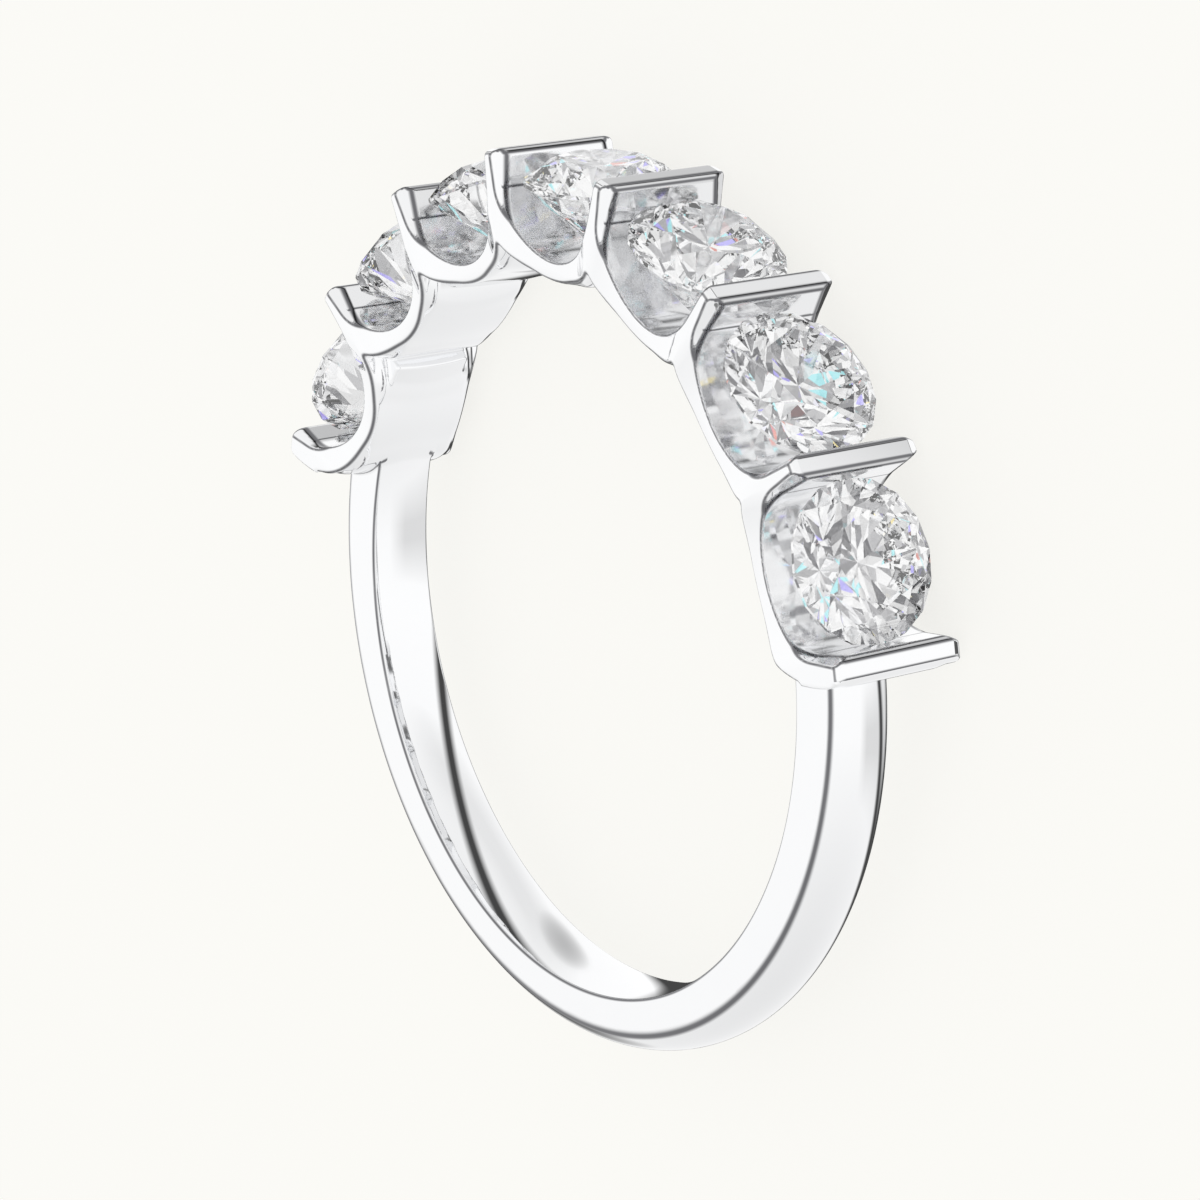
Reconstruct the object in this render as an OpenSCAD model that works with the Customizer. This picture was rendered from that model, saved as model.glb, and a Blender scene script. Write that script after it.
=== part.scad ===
// Half-eternity bar set band lying on its side.
// The finger hole runs along Z, the middle stone faces +Y, and the origin is
// the centre of the finger hole at half the width of the band.

/* [Finger hole] */
// Inside diameter of the band
finger_d = 17.3; // [15.5:0.1:20]

/* [Stones] */
// Girdle diameter of each round stone
stone_d = 3.65; // [3.2:0.05:3.9]
// Height of the crown from the girdle's upper edge to the table
crown_h = 0.55; // [0.45:0.01:0.65]
// Depth of the pavilion from the girdle's lower edge to the culet
pavilion_h = 1.56; // [1.4:0.01:1.7]
// Thickness of the girdle
girdle_t = 0.08; // [0.04:0.01:0.14]
// Corner to corner width of the table as a share of the girdle diameter
table_share = 0.57; // [0.52:0.01:0.62]
// Clearance between a stone and the metal of its seat
seat_gap = 0.03; // [0.02:0.01:0.05]
// How far the girdle is let into the bar on each side
let_in = 0.04; // [0.03:0.01:0.09]

/* [Head] */
// Thickness of each bar between two stones
bar_t = 0.6; // [0.5:0.02:0.8]
// Length of each bar along the finger hole
bar_len = 3.45; // [3:0.05:4]
// Height of the bar's top above the stone's table
bar_proud = 0.2; // [0.05:0.01:0.35]
// Chamfer along the long edges of a bar's top
edge_chamfer = 0.1; // [0.05:0.01:0.15]
// Length of the slope at each end of a bar's top
tip_chamfer = 0.26; // [0.1:0.01:0.35]
// Drop of the slope at each end of a bar's top
tip_drop = 0.07; // [0.03:0.01:0.2]
// Thickness of the metal between the finger and the bottom of a trough
floor_t = 0.27; // [0.22:0.01:0.4]
// Gap between a stone's culet and the bottom of its trough
culet_gap = 0.06; // [0.04:0.01:0.12]
// Thickness of the curved wall that wraps each trough
wrap_t = 0.66; // [0.55:0.01:0.75]
// How far the rim of a trough is set back in its middle
scallop_depth = 0.38; // [0.2:0.01:0.5]
// Radius of the curve that sets the rim back
scallop_r = 4.3; // [4:0.1:6]
// Width of the straight finger surface under the head
finger_w = 1.2; // [0.8:0.05:2]
// Distance over which the slope beside the straight finger surface rises by slope_rise
slope_w = 0.75; // [0.4:0.05:0.9]
// Rise of the slope beside the straight finger surface over slope_w
slope_rise = 0.1; // [0.04:0.01:0.16]

/* [Shank] */
// Width of the shank beside the head
shank_w_top = 1.6; // [1.3:0.05:2]
// Width of the shank at the bottom
shank_w_bottom = 1.92; // [1.5:0.05:2.2]
// Thickness of the shank beside the head
shank_t_top = 1.62; // [1.4:0.02:1.8]
// Thickness of the shank at the bottom
shank_t_bottom = 1.4; // [1.2:0.02:1.6]
// Radius of the domed outside of the shank
dome_r = 1.12; // [1.11:0.01:1.4]

/* [Hidden] */
$fn = 96;

stone_count = 7;
bar_count = stone_count + 1;
// Facets round a stone: main facets, and the share of the radius where inner facet corners lie
mains = 8;
star_share = 0.77;
lower_share = 0.23;

finger_r = finger_d / 2;
stone_r = stone_d / 2;
floor_r = finger_r + floor_t;
girdle_r = floor_r + culet_gap + pavilion_h + girdle_t / 2;
table_r = girdle_r + girdle_t / 2 + crown_h;
bar_top_r = table_r + bar_proud;

// Half the angle between two bars, so that the stone reaches let_in into both
half_gap = stone_r - let_in;
half_pitch = atan(half_gap / girdle_r) + asin(bar_t / 2 / norm([girdle_r, half_gap]));
pitch = 2 * half_pitch;

// Circle at the bottom of a trough, tangent to both bars and to the floor radius
trough_c = (floor_r - bar_t / 2) / (1 - sin(half_pitch));
trough_r = trough_c - floor_r;
wall_u = trough_r * cos(half_pitch);
wall_v = trough_c - trough_r * sin(half_pitch);

// Reach of cutting solids past the metal that they cut
past = 1;
// Cut surfaces that would only touch are let into each other by this much
hair = 0.002;

shank_r_out = finger_r + (shank_t_top + shank_t_bottom) / 2;
shank_shift = (shank_t_top - shank_t_bottom) / 2;
shank_r_in = finger_r - past;
shank_out_top = finger_r + shank_t_top;
shank_taper = atan((shank_w_bottom - shank_w_top) / 2 / shank_out_top);
end_trough_angle = half_pitch * (stone_count - 1);
// Angle left open between the last wrap's fill and the middle of its inner bar
groove_angle = 0.3;

// Turns children to the angle a, counted from +Y towards +X
module at(a) {
    rotate([0, 0, -a]) children();
}

module each_trough() {
    for (i = [0 : stone_count - 1])
        at(pitch * (i - (stone_count - 1) / 2)) children();
}

module each_bar() {
    for (i = [0 : bar_count - 1])
        at(pitch * (i - (bar_count - 1) / 2)) children();
}

// Outline of the space between two bars: a round bottom and straight walls
module trough_outline() {
    reach = bar_top_r + past;
    run = (reach - wall_v) / cos(half_pitch);
    top_u = wall_u + run * sin(half_pitch);
    translate([0, trough_c]) circle(r = trough_r);
    polygon([
        [-wall_u + hair, wall_v],
        [wall_u - hair, wall_v],
        [top_u - hair, reach],
        [-top_u + hair, reach],
    ]);
}

// Outline of a bar from the bottom of its straight walls to its top
module bar_outline() {
    polygon([
        [-bar_t / 2, wall_v],
        [bar_t / 2, wall_v],
        [bar_t / 2, bar_top_r - edge_chamfer],
        [bar_t / 2 - edge_chamfer, bar_top_r],
        [edge_chamfer - bar_t / 2, bar_top_r],
        [-bar_t / 2, bar_top_r - edge_chamfer],
    ]);
}

// Fills the groove between the outermost wraps and the end of the shank
module end_fills() {
    reach = girdle_r;
    for (side = [-1, 1])
        at(side * end_trough_angle) scale([-side, 1]) intersection() {
            circle(r = floor_r + wrap_t);
            polygon([
                [0, 0],
                [0, reach],
                [reach * tan(half_pitch - groove_angle), reach],
            ]);
        }
}

// Outline of the head before the troughs are cut
module head_outline() {
    intersection() {
        each_trough() translate([0, trough_c]) circle(r = trough_r + wrap_t);
        circle(r = girdle_r);
    }
    each_bar() bar_outline();
    end_fills();
}

// Hollows the rim of a trough on both sides of the band
module scallops() {
    for (side = [-1, 1])
        translate([0, shank_r_in, side * (bar_len / 2 - scallop_depth + scallop_r)])
            rotate([-90, 0, 0]) cylinder(r = scallop_r, h = bar_top_r - shank_r_in + past);
}

// Slopes the ends of all the bar tops in one turned cut
module tip_cut() {
    top = bar_top_r;
    end = bar_len / 2;
    slope = tip_drop / tip_chamfer;
    for (side = [-1, 1])
        scale([1, 1, side]) rotate_extrude()
            polygon([
                [top - tip_drop - past * slope, end + past],
                [top + past * slope, end - tip_chamfer - past],
                [top + past, end - tip_chamfer - past],
                [top + past, end + past],
            ]);
}

// Eases the finger hole under the head with a low slope on each side
module finger_cut() {
    start_r = finger_r - slope_rise;
    start_z = finger_w / 2 - slope_w;
    end_z = bar_len / 2 + past;
    end_r = start_r + (end_z - start_z) * slope_rise / slope_w;
    for (side = [-1, 1])
        scale([1, 1, side]) rotate_extrude()
            polygon([[start_r, start_z], [end_r, end_z], [start_r, end_z]]);
}

module head() {
    difference() {
        linear_extrude(height = bar_len, center = true) head_outline();
        each_trough() scallops();
        tip_cut();
        finger_cut();
    }
}

// D section of the shank before its sides are trimmed
module shank_section() {
    half = max(shank_w_top, shank_w_bottom) / 2 + hair;
    intersection() {
        translate([shank_r_in, -half]) square([shank_r_out - shank_r_in, 2 * half]);
        union() {
            translate([shank_r_out - dome_r, 0]) circle(r = dome_r);
            translate([shank_r_in, -dome_r])
                square([shank_r_out - dome_r - shank_r_in, 2 * dome_r]);
        }
    }
}

module shank() {
    size = 4 * finger_r;
    difference() {
        translate([0, shank_shift, 0])
            rotate([0, 0, 90 + end_trough_angle])
                rotate_extrude(angle = 360 - 2 * end_trough_angle) shank_section();
        for (side = [-1, 1])
            scale([1, 1, side])
                translate([0, 0, shank_w_top / 2]) rotate([-shank_taper, 0, 0])
                    translate([-size / 2, -size / 2, 0]) cube([size, size, finger_r]);
    }
}

// The whole cast metal, opened for the finger and cut for the stones
module band() {
    color("gainsboro") difference() {
        union() {
            head();
            shank();
        }
        linear_extrude(height = 2 * bar_len, center = true)
            each_trough() trough_outline();
        cylinder(r = finger_r, h = 2 * bar_len, center = true);
        each_trough() seat();
    }
}

// Places a stone's own axis along the radius through its trough
module on_girdle() {
    translate([0, girdle_r, 0]) rotate([-90, 0, 0]) children();
}

// Room for one stone with clearance all round
module seat() {
    half = girdle_t / 2;
    r = stone_r + seat_gap;
    on_girdle() rotate_extrude()
        polygon([
            [0, -half - pavilion_h - culet_gap / 2],
            [r, -half - seat_gap / 2],
            [r, half + seat_gap / 2],
            [stone_r * table_share + seat_gap, half + crown_h + seat_gap],
            [0, half + crown_h + seat_gap],
        ]);
}

// n points at one radius and height, the first at the angle start
function ring(n, r, z, start = 0) =
    [for (i = [0 : n - 1]) [r * cos(start + 360 * i / n), r * sin(start + 360 * i / n), z]];

// Round brilliant: table, stars, kites and upper halves above the girdle,
// lower halves and mains down to the culet below it
module brilliant() {
    step = 360 / mains;
    top = girdle_t / 2;
    table = stone_r * table_share;
    star = stone_r * star_share;
    lower = stone_r * lower_share;
    crown_slope = crown_h / (stone_r - table);
    star_z = top + crown_slope * (stone_r - star * cos(step / 2));
    lower_z = -top - pavilion_h * (1 - lower_share * cos(step / 2));
    points = concat(
        ring(mains, table, top + crown_h),
        ring(mains, star, star_z, step / 2),
        ring(2 * mains, stone_r, top),
        ring(2 * mains, stone_r, -top),
        ring(mains, lower, lower_z, step / 2),
        [[0, 0, -top - pavilion_h]]
    );
    s = mains;
    u = 2 * mains;
    d = 4 * mains;
    l = 6 * mains;
    culet = 7 * mains;
    faces = concat(
        [[for (i = [mains - 1 : -1 : 0]) i]],
        [for (i = [0 : mains - 1]) [i, (i + 1) % mains, s + i]],
        [for (i = [0 : mains - 1]) [i, s + i, u + 2 * i, s + (i + mains - 1) % mains]],
        [for (i = [0 : mains - 1]) [s + i, u + 2 * i + 1, u + 2 * i]],
        [for (i = [0 : mains - 1]) [s + i, u + (2 * i + 2) % (2 * mains), u + 2 * i + 1]],
        [for (i = [0 : 2 * mains - 1])
            let (j = (i + 1) % (2 * mains)) [u + i, u + j, d + j, d + i]],
        [for (i = [0 : mains - 1]) [l + i, d + 2 * i, d + 2 * i + 1]],
        [for (i = [0 : mains - 1]) [l + i, d + 2 * i + 1, d + (2 * i + 2) % (2 * mains)]],
        [for (i = [0 : mains - 1]) [culet, l + (i + mains - 1) % mains, d + 2 * i, l + i]]
    );
    polyhedron(points = points, faces = faces);
}

// Stone number i, counted from the -X side of the head
module stone(i) {
    color([0.93, 0.95, 0.97, 0.6])
        at(pitch * (i - (stone_count + 1) / 2)) on_girdle() brilliant();
}

band();
stone(1);  // stone_1
stone(2);  // stone_2
stone(3);  // stone_3
stone(4);  // stone_4
stone(5);  // stone_5
stone(6);  // stone_6
stone(7);  // stone_7
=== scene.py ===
import math

import bpy
import numpy as np
from mathutils import Matrix, Vector


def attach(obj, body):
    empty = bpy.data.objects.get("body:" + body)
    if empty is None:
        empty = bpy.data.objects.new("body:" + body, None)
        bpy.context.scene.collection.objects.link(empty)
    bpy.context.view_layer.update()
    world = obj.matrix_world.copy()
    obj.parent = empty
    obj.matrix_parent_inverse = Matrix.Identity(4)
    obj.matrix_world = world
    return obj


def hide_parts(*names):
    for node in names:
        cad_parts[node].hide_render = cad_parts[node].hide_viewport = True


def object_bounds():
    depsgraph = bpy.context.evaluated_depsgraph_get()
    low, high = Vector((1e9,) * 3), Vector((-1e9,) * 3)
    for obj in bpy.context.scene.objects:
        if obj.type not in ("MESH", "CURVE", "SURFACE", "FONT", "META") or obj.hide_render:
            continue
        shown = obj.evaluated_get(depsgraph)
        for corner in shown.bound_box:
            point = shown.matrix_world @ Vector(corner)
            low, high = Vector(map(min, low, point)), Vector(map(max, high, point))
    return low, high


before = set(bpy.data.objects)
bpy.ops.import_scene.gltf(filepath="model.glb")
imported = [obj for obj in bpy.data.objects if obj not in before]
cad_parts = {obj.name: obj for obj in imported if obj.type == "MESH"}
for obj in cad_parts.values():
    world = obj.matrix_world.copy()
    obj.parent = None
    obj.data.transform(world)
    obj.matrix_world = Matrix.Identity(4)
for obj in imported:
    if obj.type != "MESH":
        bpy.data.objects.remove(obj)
cad_box = [list(corner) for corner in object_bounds()]

MM = 0.001
SCENE = bpy.context.scene

# Sizes of the band, in millimetres and radians, as in the part's source
FINGER_R = 8.65
BAR_T = 0.6
BAR_LEN = 3.45
BAR_TOP = 11.37
FLOOR_R = 8.92
EDGE_CHAMFER = 0.1
TIP_CHAMFER = 0.26
TIP_DROP = 0.07
WRAP_T = 0.66
SCALLOP_DEPTH = 0.38
SCALLOP_R = 4.3
HALF_PITCH = math.radians(11.179)
SHANK_W_TOP = 1.6
SHANK_W_BOTTOM = 1.92
SHANK_OUT = 10.16
SHANK_SHIFT = 0.11
SHANK_T = 1.62
DOME_R = 1.12

# Places that follow from the sizes. Troughs are counted from the middle one, and the last is number 3
PITCH = 2 * HALF_PITCH
LAST = 3
LAST_ANGLE = PITCH * LAST
SIN, COS = math.sin(HALF_PITCH), math.cos(HALF_PITCH)
HALF_BAR = BAR_T / 2
NEAR = BAR_LEN / 2
TROUGH_C = (FLOOR_R - HALF_BAR) / (1 - SIN)
TROUGH_R = TROUGH_C - FLOOR_R
SHANK_TAPER = (SHANK_W_BOTTOM - SHANK_W_TOP) / 2 / (FINGER_R + SHANK_T)

# Radii of the round edges, which only the visible mesh has
EDGE = 0.07
MOUTH_EDGE = 0.05
TOP_EDGE = 0.12
BEVEL_EDGE = 0.04
RIBBON_EDGE = 0.13
BLOCK_EDGE = 0.12
BLOCK_IN_EDGE = 0.06
FILL_EDGE = 0.1
SHANK_EDGE = 0.05
SHANK_INNER = 0.06

# Radii of the soft joins
CROTCH = 0.1
END_BLEND = 0.25
RIBBON_BLEND = 0.3
SHANK_BLEND = 0.14

# Wraps: thickness at the middle of a trough, and how far from the middle it starts and stops growing
RIBBON_T = 0.47
THIN_UNTIL = 0.6
THICK_FROM = 1.75

# Near edge of a wrap: it gets rounder from this height over the trough's centre down to the other
ROUNDER_FROM = 0.9
ROUNDER_TO = -0.5

# Outer bar, which the last wrap meets, down to this depth under the trough's centre
LONE_BAR_DEPTH = 0.35

# Block on the finger side: half width, radius at its middle, and how it grows with the height's square
BLOCK_Z = 1.22
BLOCK_IN = 8.52
BLOCK_BOW = 0.08

# Fill between the last wrap and the groove under the last bar but one: radius, half width and start
FILL_R = 9.58
FILL_Z = 1.04
FILL_START = 2.5 * PITCH - math.radians(0.5)

# Slopes along the mouths of the troughs, widest at the bars' tops, and the depth at which they end
MOUTH_ACROSS = 0.2
MOUTH_ALONG = 0.39
MOUTH_RISE = 2.3
MOUTH_POWER = 0.8
MOUTH_LEAST = 0.001
MOUTH_DEPTH = 1.2

# Inside of the shank, bowed towards the finger: most at the middle, and none at this height
COMFORT = 0.12
COMFORT_HALF = 0.85

# Angles where the head stops, where its edges lose their lines and where the shank starts
HEAD_STOP = LAST_ANGLE + 0.5
HEAD_EDGES = LAST_ANGLE + 1.1 * HALF_PITCH
SHANK_START = LAST_ANGLE + 0.02

# Values for places where a shape isn't there
BEYOND = 0.3
BIG = 9.0

# Planes of the sampling grid: close together where the band has edges
HEAD_STEP = PITCH / 80
SHANK_STEP = math.radians(0.9)
HEAD_END = math.radians(88)
GRID_R = ((8.3, 11.6, 0.045),)
GRID_Z = ((0, 0.7, 0.14), (0.7, 1.05, 0.04), (1.05, 1.83, 0.039))

# Most triangles that the band keeps
TRIANGLES = 190000

# Settling of the mesh on the surface: rounds, longest move, least square of the slope and its step
FIRST_ROUNDS = 4
LAST_ROUNDS = 2
LONGEST_MOVE = 0.03
LEAST_SQUARE = 0.05
SLOPE_STEP = 0.002
TINY = 1e-9

# Painted shade: a dark line painted along each edge, in place of the dark reflection its rounding catches;
# in millimetres from the edge, and how dark it gets
PAINTED_SHADE_CORE = 0.008
PAINTED_SHADE_END = 0.052
PAINTED_SHADE_DEPTH = 0.9
PAINTED_SHADE_COLOR = (0.08, 0.08, 0.09, 1)

# A point counts as on an edge's faces within this distance, and falls out of the painted shade line at this
# rate
ON_FACE = 0.045
FALL_OUT = 8

# How many times wider the shank's painted shade lines are, and the height from which its join to the head
# has one
DOME_LINE = 1.6
BORE_LINE = 1.3
FLANK_LINE = 0.6

# White gold: two tones and two roughnesses that a fine grain moves between
GOLD_DARK = (0.935, 0.94, 0.95, 1)
GOLD_LIGHT = (0.955, 0.958, 0.965, 1)
GRAIN_SCALE = 900.0
GRAIN_DETAIL = 3.0
ROUGH_LEAST = 0.015
ROUGH_MOST = 0.05

# Extra roughness in the troughs, which a polishing wheel doesn't reach
HOLLOW_ROUGH = 0.08
HOLLOW_NEAR = 0.01
HOLLOW_FAR = 0.04

# Stones
STONE_COLOR = (0.985, 0.985, 0.985, 1)
STONE_IOR = 2.42

# Camera, fitted to the ring's edges in the photo: angles, millimetres and the lens on its sensor
AZIMUTH = math.radians(54.863)
ELEVATION = math.radians(17.444)
ROLL = math.radians(0.7305)
DISTANCE = 95.182
TARGET_RIGHT = 0.0654
TARGET_UP = 0.6561
LENS = 121.953
SENSOR = 36
CLIP_START = 0.005
CLIP_END = 20

# Floor, in metres, and the plain color behind it
FLOOR_HALF = 1.5
FLOOR_GAP = 0.00001
FLOOR_COLOR = (0.16, 0.16, 0.16, 1)
FLOOR_GLOW = (0.812, 0.806, 0.775, 1)
BACKDROP = (0.956, 0.950, 0.915, 1)

# Brightness of the studio along the upright ring's height, from straight below (-1) to straight above (1)
SKY = ((-1.0, 0.80), (-0.5, 0.93), (-0.3, 0.98), (0.0, 1.0), (0.5, 0.98), (0.75, 0.93), (1.0, 0.88))
SKY_STRENGTH = 1.04

# Shades in the studio: the grey of one, and its windows, each a direction with pairs of cosine and share
SIDEWAYS, UPWARD, TOWARDS = (1, 0, 0), (0, 1, 0), (0, 0, 1)
SHADES = (
    (0.72, (
        (UPWARD, ((-0.55, 0.0), (-0.36, 1.0), (-0.28, 1.0), (-0.08, 0.0))),
        (TOWARDS, ((-0.55, 1.0), (-0.3, 0.0))),
    )),
    (0.8, (
        (UPWARD, ((0.5, 0.0), (0.7, 1.0), (0.8, 1.0), (0.95, 0.0))),
        (TOWARDS, ((-0.5, 1.0), (-0.1, 0.0))),
    )),
    (0.06, (
        ((-0.378, 0.378, -0.844), ((0.53, 0.0), (0.605, 1.0), (0.655, 1.0), (0.72, 0.0))),
    )),
    (0.06, (
        (SIDEWAYS, ((-0.4, 1.0), (-0.15, 0.0))),
        (UPWARD, ((-0.55, 0.0), (-0.42, 1.0), (-0.2, 1.0), (-0.08, 0.0))),
        (TOWARDS, ((-0.4, 1.0), (-0.2, 0.0))),
    )),
    (0.15, (
        ((-0.782, -0.57, -0.15), ((0.96, 0.0), (0.995, 1.0))),
    )),
    (0.5, (
        ((-0.609, 0.574, -0.548), ((0.975, 0.0), (0.998, 1.0))),
    )),
)

# What shows through the stones: cells of light, each color from its share of the cells upward
CELLS = 4.5
CELLS_STRENGTH = 1.06
SPARKLE = (
    (0.0, (0.03, 0.03, 0.04)),
    (0.10, (0.18, 0.18, 0.19)),
    (0.20, (0.40, 0.40, 0.41)),
    (0.36, (0.68, 0.68, 0.68)),
    (0.54, (0.95, 0.95, 0.95)),
    (0.93, (1.0, 0.85, 0.35)),
    (0.945, (0.45, 0.4, 1.0)),
    (0.96, (0.4, 0.9, 0.95)),
    (0.975, (0.8, 0.25, 0.2)),
    (0.985, (1.0, 1.0, 1.0)),
)

# Bounces that light needs to leave a stone
BOUNCES = 24
GLOSSY_BOUNCES = 16


# Distance fields of the band: below zero in the metal
def note(painted_lines, gap, off, where):
    """Adds how far each point lies from an edge, for the painted shade line, where the point is on one of
    its two faces.
    """
    if painted_lines is not None:
        far = gap + FALL_OUT * np.maximum(np.abs(off) - ON_FACE, 0)
        painted_lines.append(np.where(where, far, BIG))


def cut_round(a, b, r):
    """What two shapes share, with a round edge of radius r."""
    u, v = np.maximum(a + r, 0), np.maximum(b + r, 0)
    return np.minimum(-r, np.maximum(a, b)) + np.hypot(u, v)


def cut_with_painted_line(a, b, r, painted_lines, where, width=1.0):
    """The same, and its edge gets a painted shade line, a dark color standing in for the dark reflection of
    the rounding.
    """
    note(painted_lines, np.abs(a - b) / width, np.maximum(a, b), where)
    return cut_round(a, b, r)


def join_round(a, b, r):
    """Two shapes together, with a round inner corner of radius r."""
    u, v = np.maximum(r - a, 0), np.maximum(r - b, 0)
    return np.maximum(r, np.minimum(a, b)) - np.hypot(u, v)


def ramp(x, low, high):
    t = np.clip((x - low) / (high - low), 0, 1)
    return t * t * (3 - 2 * t)


def wall_at(u):
    """Thickness of a wrap, which grows from the middle of its trough to the bars."""
    return RIBBON_T + (WRAP_T - RIBBON_T) * ramp(np.abs(u), THIN_UNTIL, THICK_FROM)


class Place:
    """Where points are from their nearest trough: across it, up from it, and from its round floor."""

    def __init__(self, th, radius, z):
        self.angle, self.radius, self.az = np.abs(th), radius, np.abs(z)
        k = np.clip(np.rint(self.angle / PITCH), 0, LAST)
        d = self.angle - k * PITCH
        self.outer = (k == LAST) & (d > 0)
        d = np.abs(d)
        self.beside = PITCH - d
        self.u, self.v = radius * np.sin(d), radius * np.cos(d)
        self.side = self.u * COS - self.v * SIN
        self.height = self.u * SIN + self.v * COS
        self.reach = np.hypot(self.u, self.v - TROUGH_C)
        self.above = self.height - TROUGH_C * COS
        self.trough = np.where(self.above > 0, self.side + HALF_BAR, self.reach - TROUGH_R)
        self.in_head = self.angle < HEAD_EDGES
        self.in_shank = self.angle > LAST_ANGLE


def wraps(at):
    """The wraps of two neighbours, which meet under a bar. The last one meets its outer bar alone."""
    own = at.reach - (TROUGH_R + wall_at(at.u))
    u = at.radius * np.sin(at.beside)
    other = np.hypot(u, at.radius * np.cos(at.beside) - TROUGH_C) - (TROUGH_R + wall_at(u))
    lone_bar = np.maximum(at.side - HALF_BAR, -LONE_BAR_DEPTH - at.above)
    other = np.where(at.outer, lone_bar, other)
    return join_round(own, other, np.where(at.outer, END_BLEND, CROTCH))


def ribbons(at, painted_lines):
    """The wraps cut off at their near faces, which are set back along the mouth of each trough."""
    scallop = SCALLOP_R - np.hypot(at.u, at.az - (NEAR - SCALLOP_DEPTH + SCALLOP_R))
    face = cut_round(at.az - NEAR, scallop, EDGE)
    low = ramp(-at.above, -ROUNDER_FROM, -ROUNDER_TO)
    r = EDGE + (RIBBON_EDGE - EDGE) * low
    return cut_with_painted_line(wraps(at), face, r, painted_lines, at.in_head, 1 + low)


def finger_side(at, painted_lines):
    """The block under a trough, between its two ribbons."""
    inner = BLOCK_IN + BLOCK_BOW * at.az ** 2 - at.radius
    block = cut_round(at.reach - (TROUGH_R + WRAP_T), inner, BLOCK_IN_EDGE)
    return cut_with_painted_line(block, at.az - BLOCK_Z, BLOCK_EDGE, painted_lines, at.in_head)


def end_fill(at):
    """The fill between the last wrap and the groove before it."""
    inner = BLOCK_IN + BLOCK_BOW * at.az ** 2 - at.radius
    fill = cut_round(at.radius - FILL_R, at.az - FILL_Z, FILL_EDGE)
    fill = cut_round(fill, at.radius * np.sin(FILL_START - at.angle), FILL_EDGE)
    fill = cut_round(fill, inner, EDGE)
    return np.where((at.angle > PITCH * (LAST - 1)) & (at.angle < LAST_ANGLE), fill, BIG)


def bar_tops(at, painted_lines):
    """Flat tops that drop at their tips, with a bevel along each side."""
    top = at.height - BAR_TOP
    top = np.maximum(top, top + (at.az - NEAR + TIP_CHAMFER) * TIP_DROP / TIP_CHAMFER)
    bevel = (np.abs(at.side) + at.height - (HALF_BAR + BAR_TOP - EDGE_CHAMFER)) * math.sqrt(0.5)
    return cut_with_painted_line(top, bevel, BEVEL_EDGE, painted_lines, at.in_head)


def shank(at, painted_lines):
    """Domed outside, flat tapered flanks and a bowed inside."""
    y = at.radius * np.cos(at.angle)
    shifted = np.hypot(at.radius * np.sin(at.angle), y - SHANK_SHIFT)
    dome = np.hypot(np.maximum(shifted - (SHANK_OUT - DOME_R), 0), at.az) - DOME_R
    flank = at.az - (SHANK_W_TOP / 2 - y * SHANK_TAPER)
    bore = FINGER_R - COMFORT * (1 - (at.az / COMFORT_HALF) ** 2) - at.radius
    metal = cut_with_painted_line(dome, flank, SHANK_EDGE, painted_lines, at.in_shank, DOME_LINE)
    metal = cut_with_painted_line(metal, bore, SHANK_INNER, painted_lines, at.in_shank, BORE_LINE)
    return np.maximum(metal, (SHANK_START - at.angle) * at.radius)


def mouths(at):
    """Slopes along the mouths of the troughs."""
    share = np.clip((at.v - FLOOR_R) / MOUTH_RISE, MOUTH_LEAST, 1) ** MOUTH_POWER
    across, along = 1 / (MOUTH_ACROSS * share), 1 / (MOUTH_ALONG * share)
    mouth = (1 - at.trough * across - (NEAR - at.az) * along) / np.hypot(across, along)
    return np.where(at.above > -MOUTH_DEPTH, mouth, -BIG)


def field(th, radius, z, painted_lines=None):
    """Distance to the surface of the band, for arrays of angle, radius and height."""
    at = Place(th, radius, z)
    head = join_round(ribbons(at, painted_lines), finger_side(at, painted_lines), RIBBON_BLEND)
    head = join_round(head, end_fill(at), FILL_EDGE)
    head = np.where(at.angle < HEAD_STOP, head, np.maximum(head, BEYOND))
    head = cut_with_painted_line(head, bar_tops(at, painted_lines), TOP_EDGE, painted_lines, at.in_head)
    hoop = shank(at, painted_lines)
    note(painted_lines, np.abs(head - hoop), 0, at.in_shank & (at.az > FLANK_LINE))
    metal = join_round(head, hoop, SHANK_BLEND)
    metal = cut_with_painted_line(metal, -at.trough, EDGE, painted_lines, at.in_head)
    note(painted_lines, np.abs(at.above), at.trough, at.in_head)
    return cut_with_painted_line(metal, mouths(at), MOUTH_EDGE, painted_lines, at.in_head)


# The field at points given by x, y and z
def polar(p):
    return np.arctan2(p[:, 0], p[:, 1]), np.hypot(p[:, 0], p[:, 1]), p[:, 2]


def gradient(p):
    slope = np.empty_like(p)
    for i in range(3):
        step = np.zeros(3)
        step[i] = SLOPE_STEP
        slope[:, i] = (field(*polar(p + step)) - field(*polar(p - step))) / (2 * SLOPE_STEP)
    return slope


def from_edges(p):
    """Distance of each surface point to the nearest edge, which sets where the shade lines are painted."""
    painted_lines = []
    field(*polar(p), painted_lines)
    return np.minimum(np.min(painted_lines, axis=0), 1)


def in_trough(p):
    """1 on the wall and floor of a trough, 0 elsewhere."""
    return 1 - ramp(np.abs(Place(*polar(p)).trough), HOLLOW_NEAR, HOLLOW_FAR)


# Mesh of the band
def stretch(*parts):
    """Numbers from the first start to the last end, each part given as (start, end, step)."""
    out = [parts[0][0]]
    for start, end, step in parts:
        n = max(1, round((end - start) / step))
        out.extend(start + (end - start) * (i + 1) / n for i in range(n))
    return np.array(out)


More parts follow.
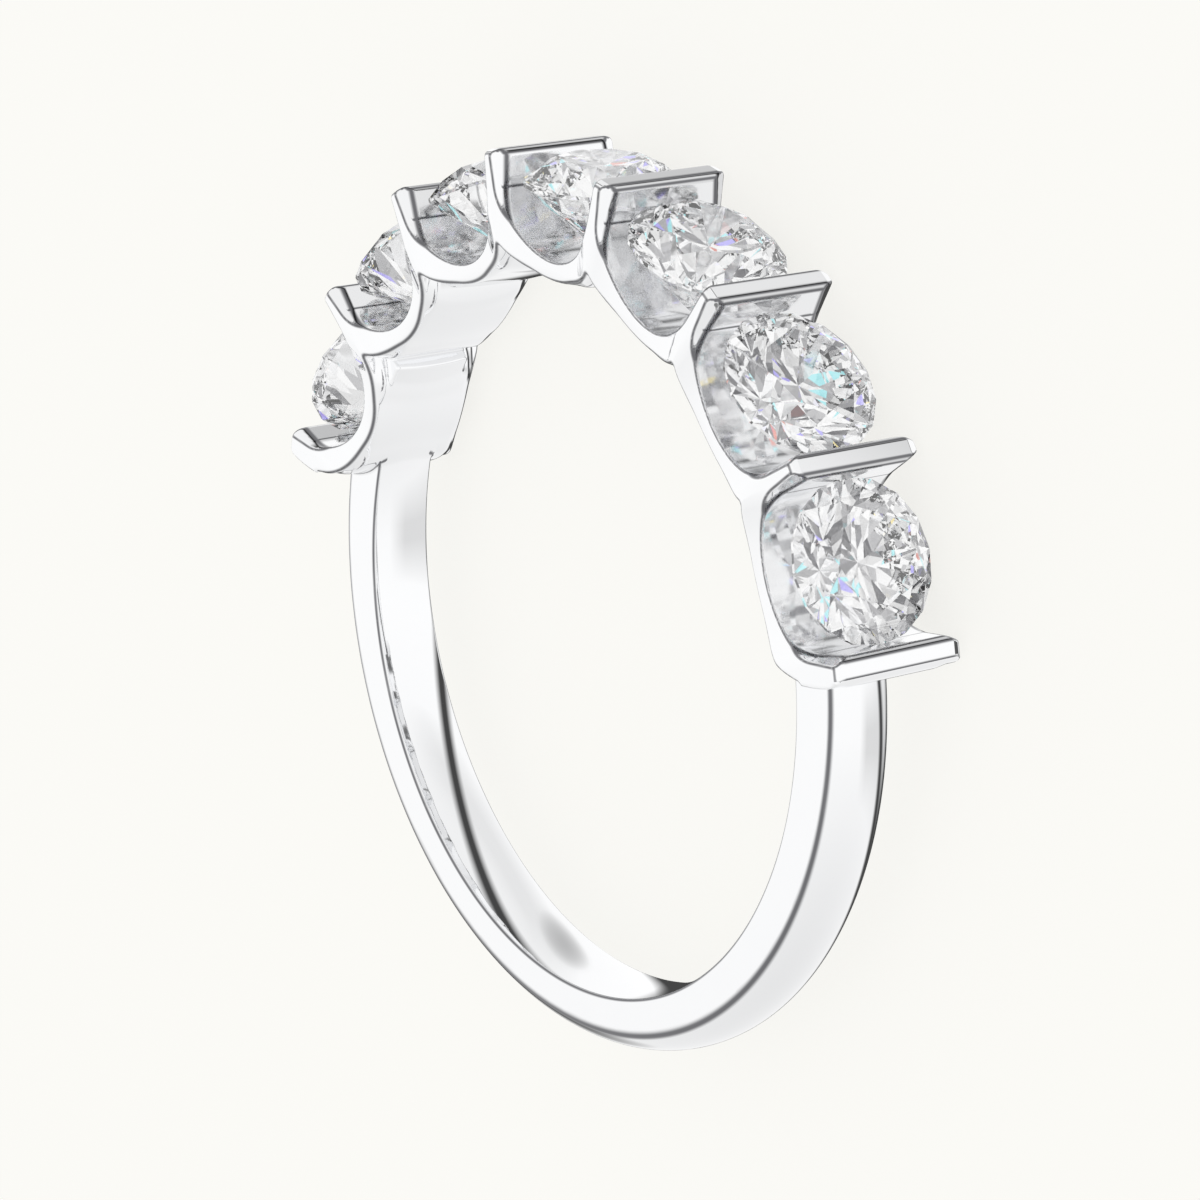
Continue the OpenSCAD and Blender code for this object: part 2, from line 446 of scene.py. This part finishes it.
def sampled():
    """The field on a grid: a quarter of the band, mirrored to both sides and both heights."""
    head_end = round(HEAD_END / HEAD_STEP) * HEAD_STEP
    half = stretch((0, head_end, HEAD_STEP), (head_end, math.pi, SHANK_STEP))
    rs = stretch(*GRID_R)
    zs = stretch(*GRID_Z)
    th, r, z = np.meshgrid(half, rs, zs, indexing="ij")
    quarter = field(th, r, z)
    values = np.concatenate([quarter[:, :, :0:-1], quarter], axis=2)
    values = np.concatenate([values[:0:-1], values[:-1]], axis=0)
    ths = np.concatenate([-half[:0:-1], half[:-1]])
    return ths, rs, np.concatenate([-zs[:0:-1], zs]), values


def crossed_cells(ring, inside):
    """Cells of the grid that the surface passes through, and the mean point of its crossings in each."""
    count = np.zeros(tuple(s - 1 for s in ring.shape), int)
    for a in (0, 1):
        for b in (0, 1):
            for c in (0, 1):
                count += inside[a:a + count.shape[0], b:b + count.shape[1], c:c + count.shape[2]]
    cells = (count > 0) & (count < 8)
    base = np.argwhere(cells)
    total = np.zeros((len(base), 3))
    hits = np.zeros(len(base))
    for axis in range(3):
        others = [i for i in range(3) if i != axis]
        for s in (0, 1):
            for t in (0, 1):
                start = base.copy()
                start[:, others[0]] += s
                start[:, others[1]] += t
                end = start.copy()
                end[:, axis] += 1
                fa, fb = ring[tuple(start.T)], ring[tuple(end.T)]
                crossed = (fa < 0) != (fb < 0)
                point = start.astype(float)
                point[:, axis] += np.where(crossed, fa / np.where(crossed, fa - fb, 1), 0)
                total[crossed] += point[crossed]
                hits += crossed
    return cells, total / hits[:, None]


def quads_across(axis, inside, cells):
    """One quad of four cells round each grid edge along an axis that the surface crosses."""
    n = cells.shape[0]
    index = -np.ones(cells.shape, int)
    index[cells] = np.arange(cells.sum())
    take = [slice(None) if axis == 0 else slice(0, n), slice(None), slice(None)]
    take[axis] = slice(0, -1)
    start = inside[tuple(take)]
    take[axis] = slice(1, None)
    crossing = np.argwhere(start != inside[tuple(take)])
    flip = start[tuple(crossing.T)] if axis == 1 else ~start[tuple(crossing.T)]
    first, second = [i for i in range(3) if i != axis]
    around = []
    ok = np.ones(len(crossing), bool)
    for s, t in ((0, 0), (1, 0), (1, 1), (0, 1)):
        cell = crossing.copy()
        cell[:, first] -= s
        cell[:, second] -= t
        cell[:, 0] %= n
        bad = (cell < 0).any(1) | (cell[:, 1] >= cells.shape[1]) | (cell[:, 2] >= cells.shape[2])
        ok &= ~bad
        cell[bad] = 0
        around.append(index[tuple(cell.T)])
    quads = np.stack(around, -1)[ok]
    flip = flip[ok]
    quads[flip] = quads[flip][:, ::-1]
    return quads


def surface_net(ths, rs, zs, values):
    """Closed mesh of quads where the values pass through zero. The first axis goes round."""
    ring = np.concatenate([values, values[:1]], axis=0)
    ths = np.append(ths, ths[0] + 2 * math.pi)
    inside = ring < 0
    cells, at = crossed_cells(ring, inside)
    th, r, z = [np.interp(at[:, i], np.arange(len(g)), g) for i, g in enumerate((ths, rs, zs))]
    quads = np.concatenate([quads_across(axis, inside, cells) for axis in range(3)])
    return np.stack([r * np.sin(th), r * np.cos(th), z], -1), quads


def settled(verts, rounds):
    """Moves points onto the surface of the field."""
    for _ in range(rounds):
        slope = gradient(verts)
        steep = np.maximum((slope * slope).sum(1), LEAST_SQUARE)
        move = -(field(*polar(verts)) / steep)[:, None] * slope
        length = np.maximum(np.linalg.norm(move, axis=1), TINY)
        verts = verts + move * np.minimum(1, LONGEST_MOVE / length)[:, None]
    return verts


def points_of(mesh):
    co = np.empty(len(mesh.vertices) * 3, np.float32)
    mesh.vertices.foreach_get("co", co)
    return co.reshape(-1, 3).astype(float)


def make_band():
    verts, quads = surface_net(*sampled())
    mesh = bpy.data.meshes.new("cast_band")
    mesh.from_pydata((settled(verts, FIRST_ROUNDS) * MM).tolist(), [], quads.tolist())
    mesh.validate()
    piece = bpy.data.objects.new("cast_band", mesh)
    SCENE.collection.objects.link(piece)
    less = piece.modifiers.new("less", "DECIMATE")
    less.ratio = min(1, TRIANGLES / (2 * len(mesh.polygons)))
    bpy.context.view_layer.objects.active = piece
    bpy.ops.object.modifier_apply(modifier="less")
    mesh = piece.data
    verts = settled(points_of(mesh) / MM, LAST_ROUNDS)
    mesh.vertices.foreach_set("co", (verts * MM).astype(np.float32).ravel())
    normals = gradient(verts)
    normals /= np.maximum(np.linalg.norm(normals, axis=1), TINY)[:, None]
    mesh.polygons.foreach_set("use_smooth", [True] * len(mesh.polygons))
    mesh.update()
    mesh.normals_split_custom_set_from_vertices(normals.tolist())
    # The edge attribute sets where dark shade lines are painted along the edges; hollow only adds roughness
    for name, values in (("edge", from_edges(verts)), ("hollow", in_trough(verts))):
        layer = mesh.attributes.new(name, "FLOAT", "POINT")
        layer.data.foreach_set("value", values.astype(np.float32))
    return piece


# Nodes
class Nodes:
    """Adds nodes to a tree and joins them."""

    def __init__(self, tree):
        self.tree = tree

    def add(self, kind, sockets=None, **settings):
        """Makes a node. A socket's value is an output to link or a plain value."""
        node = self.tree.nodes.new(kind)
        for name, value in settings.items():
            setattr(node, name, value)
        for name, value in (sockets or {}).items():
            self.put(node, name, value)
        return node

    def put(self, node, name, value):
        if isinstance(value, bpy.types.NodeSocket):
            self.tree.links.new(value, node.inputs[name])
        else:
            node.inputs[name].default_value = value

    def mixed(self, share, a, b):
        sockets = {"Factor": share, "A": a, "B": b}
        return self.add("ShaderNodeMix", sockets, data_type="RGBA").outputs["Result"]

    def maths(self, operation, *values):
        return self.add("ShaderNodeMath", dict(enumerate(values)), operation=operation).outputs["Value"]

    def colors(self, source, stops, interpolation="LINEAR"):
        """Color ramp, given as pairs of place and color."""
        node = self.add("ShaderNodeValToRGB", {"Fac": source})
        node.color_ramp.interpolation = interpolation
        elements = node.color_ramp.elements
        while len(elements) < len(stops):
            elements.new(0.5)
        for element, (at, color) in zip(elements, stops):
            element.position = at
            element.color = (*color, 1)
        return node.outputs["Color"]

    def greys(self, source, stops):
        """Grey ramp over a value from -1 to 1, given as pairs of value and brightness."""
        half = self.maths("MULTIPLY_ADD", source, 0.5, 0.5)
        return self.colors(half, [((at + 1) / 2, (grey, grey, grey)) for at, grey in stops])


def new_material(name):
    material = bpy.data.materials.new(name)
    material.use_nodes = True
    return material, Nodes(material.node_tree), material.node_tree.nodes["Principled BSDF"]


def white_gold():
    material, net, shader = new_material("white_gold")
    place = net.add("ShaderNodeTexCoord").outputs["Object"]
    grain = net.add("ShaderNodeTexNoise", {"Vector": place, "Scale": GRAIN_SCALE, "Detail": GRAIN_DETAIL})
    grain = grain.outputs["Fac"]
    polish = {"Value": grain, "To Min": ROUGH_LEAST, "To Max": ROUGH_MOST}
    polish = net.add("ShaderNodeMapRange", polish).outputs["Result"]
    hollow = net.add("ShaderNodeAttribute", attribute_name="hollow").outputs["Fac"]
    # Painted shade: dark lines painted along the edges, standing in for the dark reflections that their
    # roundings catch
    edge = net.add("ShaderNodeAttribute", attribute_name="edge").outputs["Fac"]
    painted_shade = {"Value": edge, "From Min": PAINTED_SHADE_CORE, "From Max": PAINTED_SHADE_END, "To Min": PAINTED_SHADE_DEPTH, "To Max": 0.0}
    painted_shade = net.add("ShaderNodeMapRange", painted_shade, interpolation_type="SMOOTHSTEP").outputs["Result"]
    tone = net.mixed(grain, GOLD_DARK, GOLD_LIGHT)
    net.put(shader, "Metallic", 1.0)
    net.put(shader, "Roughness", net.maths("MULTIPLY_ADD", hollow, HOLLOW_ROUGH, polish))
    net.put(shader, "Base Color", net.mixed(painted_shade, tone, PAINTED_SHADE_COLOR))
    return material


def brilliant():
    material, net, shader = new_material("brilliant")
    net.put(shader, "Base Color", STONE_COLOR)
    net.put(shader, "Transmission Weight", 1.0)
    net.put(shader, "IOR", STONE_IOR)
    net.put(shader, "Roughness", 0.0)
    return material


def floor_material():
    material, net, shader = new_material("floor")
    net.put(shader, "Base Color", FLOOR_COLOR)
    net.put(shader, "Roughness", 1.0)
    net.put(shader, "Specular IOR Level", 0.0)
    net.put(shader, "Emission Color", FLOOR_GLOW)
    net.put(shader, "Emission Strength", 1.0)
    return material


# Camera, floor and studio
def lying(p):
    """Turns the upright ring's frame, in which the camera was fitted, to the lying one."""
    return Vector((p.x, p.z, -p.y))


def make_camera():
    a, e = AZIMUTH, ELEVATION
    ahead = Vector((-math.sin(a) * math.cos(e), math.cos(a) * math.cos(e), -math.sin(e)))
    level = Vector((math.cos(a), math.sin(a), 0))
    upright = level.cross(ahead)
    right = math.cos(ROLL) * level + math.sin(ROLL) * upright
    up = math.cos(ROLL) * upright - math.sin(ROLL) * level
    place = TARGET_RIGHT * right + TARGET_UP * up - DISTANCE * ahead
    data = bpy.data.cameras.new("camera")
    data.lens = LENS
    data.sensor_width = SENSOR
    data.clip_start = CLIP_START
    data.clip_end = CLIP_END
    camera = bpy.data.objects.new("camera", data)
    SCENE.collection.objects.link(camera)
    turn = Matrix((lying(right), lying(up), -lying(ahead))).transposed()
    camera.matrix_world = Matrix.Translation(lying(place) * MM) @ turn.to_4x4()
    SCENE.camera = camera


def make_floor():
    """Plain floor that the metal and the stones don't mirror, so that they stand out from it."""
    z = cad_box[0][2] - FLOOR_GAP
    h = FLOOR_HALF
    mesh = bpy.data.meshes.new("floor")
    mesh.from_pydata([(-h, -h, z), (h, -h, z), (h, h, z), (-h, h, z)], [], [(0, 1, 2, 3)])
    mesh.materials.append(floor_material())
    floor = bpy.data.objects.new("floor", mesh)
    SCENE.collection.objects.link(floor)
    floor.visible_glossy = False
    floor.visible_transmission = False


def studio_light(net, place):
    """Soft light with a few dark shades, which the metal mirrors."""
    height = net.add("ShaderNodeSeparateXYZ", {"Vector": place}).outputs["Y"]
    light = net.greys(height, SKY)
    for grey, windows in SHADES:
        masks = []
        for direction, stops in windows:
            sockets = {0: place, 1: Vector(direction).normalized()}
            along = net.add("ShaderNodeVectorMath", sockets, operation="DOT_PRODUCT")
            masks.append(net.greys(along.outputs["Value"], stops))
        mask = masks[0]
        for other in masks[1:]:
            mask = net.maths("MULTIPLY", mask, other)
        light = net.mixed(mask, light, (grey, grey, grey, 1))
    return net.add("ShaderNodeBackground", {"Color": light, "Strength": SKY_STRENGTH})


def stone_light(net, place):
    """Cells of light and dark with a few colored ones, which show through the stones."""
    cells = net.add("ShaderNodeTexVoronoi", {"Vector": place, "Scale": CELLS}).outputs["Color"]
    pick = net.add("ShaderNodeSeparateColor", {"Color": cells}).outputs["Red"]
    light = net.colors(pick, SPARKLE, "CONSTANT")
    return net.add("ShaderNodeBackground", {"Color": light, "Strength": CELLS_STRENGTH})


def make_world():
    world = bpy.data.worlds.new("studio")
    SCENE.world = world
    world.use_nodes = True
    world.node_tree.nodes.clear()
    net = Nodes(world.node_tree)
    place = net.add("ShaderNodeTexCoord").outputs["Generated"]
    path = net.add("ShaderNodeLightPath").outputs
    studio = studio_light(net, place).outputs[0]
    inside = stone_light(net, place).outputs[0]
    plain = net.add("ShaderNodeBackground", {"Color": BACKDROP}).outputs[0]
    shiny = net.add("ShaderNodeMixShader", {0: path["Is Transmission Ray"], 1: studio, 2: inside})
    plainly = net.maths("MAXIMUM", path["Is Camera Ray"], path["Is Diffuse Ray"])
    mix = net.add("ShaderNodeMixShader", {0: plainly, 1: shiny.outputs[0], 2: plain})
    net.add("ShaderNodeOutputWorld", {"Surface": mix.outputs[0]})


make_camera()
make_world()
make_floor()

band = make_band()
band.data.materials.append(white_gold())
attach(band, "root")
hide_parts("band")

stone_material = brilliant()
for name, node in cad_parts.items():
    if name.startswith("stone"):
        node.data.materials.clear()
        node.data.materials.append(stone_material)

SCENE.cycles.max_bounces = BOUNCES
SCENE.cycles.glossy_bounces = GLOSSY_BOUNCES
SCENE.cycles.transmission_bounces = BOUNCES
SCENE.view_settings.view_transform = "Standard"
SCENE.view_settings.look = "None"
